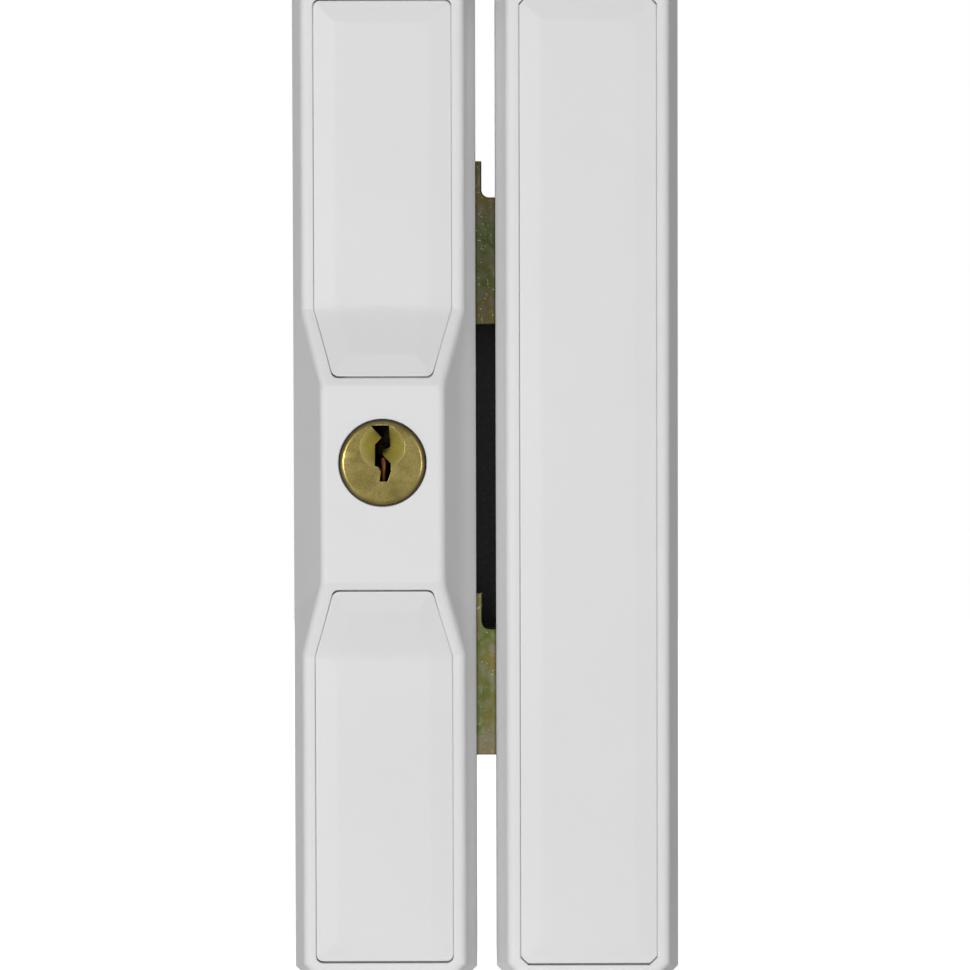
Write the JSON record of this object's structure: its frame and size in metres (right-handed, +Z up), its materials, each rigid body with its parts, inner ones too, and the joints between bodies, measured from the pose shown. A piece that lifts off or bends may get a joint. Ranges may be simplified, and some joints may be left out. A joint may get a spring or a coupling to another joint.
{
  "type": "window lock",
  "caption": "Surface-mounted window lock: a slim lock case with a raised waist and key cylinder, steel plate bolts on a rack-driven carriage, and a matching strike case.",
  "frame": {"origin": "centre of the lock case's back face, where it meets the window", "axes": "+X from the lock case to the strike case, +Z up, -Y out of the front towards the room"},
  "size_m": [0.0616, 0.034, 0.16],
  "materials": {
    "case_coat": "white powder coat, satin",
    "cap_plastic": "white moulded plastic, satin",
    "brass": "turned and lightly brushed",
    "bronze": "drawn, copper coloured",
    "bolt_plating": "yellow chromated zinc plate",
    "carriage_plastic": "black glass-filled nylon",
    "plated_steel": "clear zinc plate",
    "bright_steel": "turned, zinc plated",
    "spring_steel": "drawn wire"
  },
  "bodies": {
    "root": {"lock_housing": "case_coat", "lock_back_plate": "plated_steel", "guide_studs": "bright_steel", "lock_case_screws": "bright_steel", "cylinder_barrel": "brass", "chamber_cap": "brass", "driver_pins": "bronze", "pin_springs": "spring_steel", "barrel_clamp": "plated_steel", "clamp_screws": "bright_steel", "strike_housing": "case_coat", "strike_back_plate": "plated_steel", "strike_keeper": "plated_steel", "keeper_rivets": "bright_steel", "strike_case_screws": "bright_steel"},
    "plug": {"cylinder_plug": "brass", "key_pins": "bronze", "plug_clip": "bright_steel", "drive_pinion": "bright_steel", "pinion_screw": "bright_steel"},
    "bolt_set": {"bolt_carriage": "carriage_plastic", "upper_bolt": "bolt_plating", "lower_bolt": "bolt_plating", "bolt_rivets": "bright_steel"},
    "upper_cap": {"upper_cover": "cap_plastic"},
    "lower_cap": {"lower_cover": "cap_plastic"},
    "strike_cap": {"strike_panel": "cap_plastic"}
  },
  "joints": [
    {"name": "plug_turn", "type": "hinge", "parent": "root", "child": "plug", "pos_m": [0, -0.02, 0.00335], "axis": [0, 1, 0], "range_deg": [0, 90]},
    {"name": "bolt_throw", "type": "slide", "parent": "root", "child": "bolt_set", "axis": [-1, 0, 0], "range_m": [0, 0.01005]},
    {"name": "upper_cover_off", "type": "slide", "parent": "root", "child": "upper_cap", "axis": [0, -1, 0], "range_m": [0, 0.02]},
    {"name": "lower_cover_off", "type": "slide", "parent": "root", "child": "lower_cap", "axis": [0, -1, 0], "range_m": [0, 0.02]},
    {"name": "strike_panel_off", "type": "slide", "parent": "root", "child": "strike_cap", "axis": [0, -1, 0], "range_m": [0, 0.02]}
  ],
  "couplings": [
    {"joint": "plug_turn", "follows": "bolt_throw", "rad_per_m": 156.25}
  ]
}
